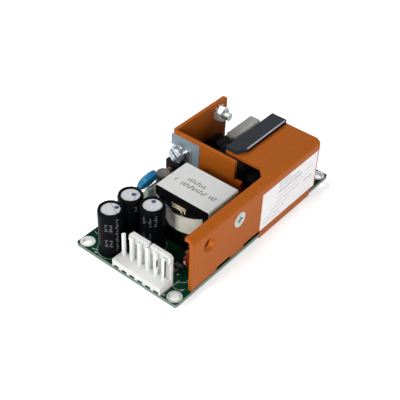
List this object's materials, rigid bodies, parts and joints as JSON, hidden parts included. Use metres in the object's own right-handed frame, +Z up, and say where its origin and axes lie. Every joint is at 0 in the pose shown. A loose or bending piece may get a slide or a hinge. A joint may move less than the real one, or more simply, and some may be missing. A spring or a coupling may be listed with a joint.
{
  "type": "open-frame power supply",
  "caption": "Open-frame circuit board power supply with a folded orange heatsink, a transformer, capacitors and pin headers.",
  "frame": {"origin": "middle of the four mounting holes, on the underside of the circuit board", "axes": "+X to the right, towards the tall heatsink wall; +Y along the board from the output header to the input header; +Z up, from the solder side to the component side"},
  "size_m": [0.0508, 0.1016, 0.0307],
  "materials": {
    "board": "green solder mask on glass fibre laminate",
    "heatsink": "satin orange anodised sheet",
    "strip": "dark insulating strip",
    "label": "blank white film",
    "header": "white moulded nylon",
    "tinned": "tin plated",
    "zinc": "bright zinc plated",
    "sleeve": "black shrink sleeve",
    "can": "bare drawn can",
    "ferrite": "dark ferrite",
    "tape": "pale polyester tape",
    "bobbin": "black phenolic",
    "winding": "enamelled copper wire",
    "wound_tape": "copper wire under pale tape",
    "black_wire": "dark enamelled copper wire",
    "epoxy": "black moulded epoxy",
    "pad": "grey thermal pad",
    "blue": "blue dipped coating",
    "pale_case": "pale moulded case",
    "grey_box": "grey moulded box",
    "green_dip": "dark green coating",
    "chip": "ceramic chips"
  },
  "bodies": {
    "root": {"circuit_board": "board", "main_heatsink": "heatsink", "side_heatsink": "heatsink", "heatsink_edge_strip": "strip", "blank_label": "label", "output_header_housing": "header", "output_header_pins": "tinned", "input_header_housing": "header", "input_header_pins": "tinned", "output_capacitor_1": "can", "output_capacitor_2": "can", "output_capacitor_3": "can", "output_capacitor_1_sleeve": "sleeve", "output_capacitor_2_sleeve": "sleeve", "output_capacitor_3_sleeve": "sleeve", "auxiliary_capacitor": "can", "auxiliary_capacitor_sleeve": "sleeve", "bulk_capacitor": "can", "bulk_capacitor_sleeve": "sleeve", "transformer_core_upper": "ferrite", "transformer_core_lower": "ferrite", "transformer_bobbin": "bobbin", "transformer_winding": "wound_tape", "transformer_tape": "tape", "transformer_pins": "tinned", "front_transistor_case": "epoxy", "front_transistor_leadframe": "tinned", "front_insulating_pad": "pad", "cheese_head_screw": "zinc", "flat_washer": "zinc", "rectifier_case": "epoxy", "rectifier_leadframe": "tinned", "rectifier_insulating_pad": "pad", "countersunk_screws": "zinc", "star_washer": "zinc", "hex_nuts": "zinc", "output_choke_core": "ferrite", "output_choke_winding": "winding", "disc_capacitor": "blue", "inrush_thermistor": "green_dip", "optocoupler": "pale_case", "filter_capacitor": "grey_box", "line_choke_core": "ferrite", "line_choke_windings": "black_wire", "bridge_rectifier": "epoxy", "fuse": "bobbin", "control_ic": "epoxy", "chip_components": "chip", "snubber_diode": "epoxy", "snubber_resistor": "chip"}
  },
  "joints": []
}
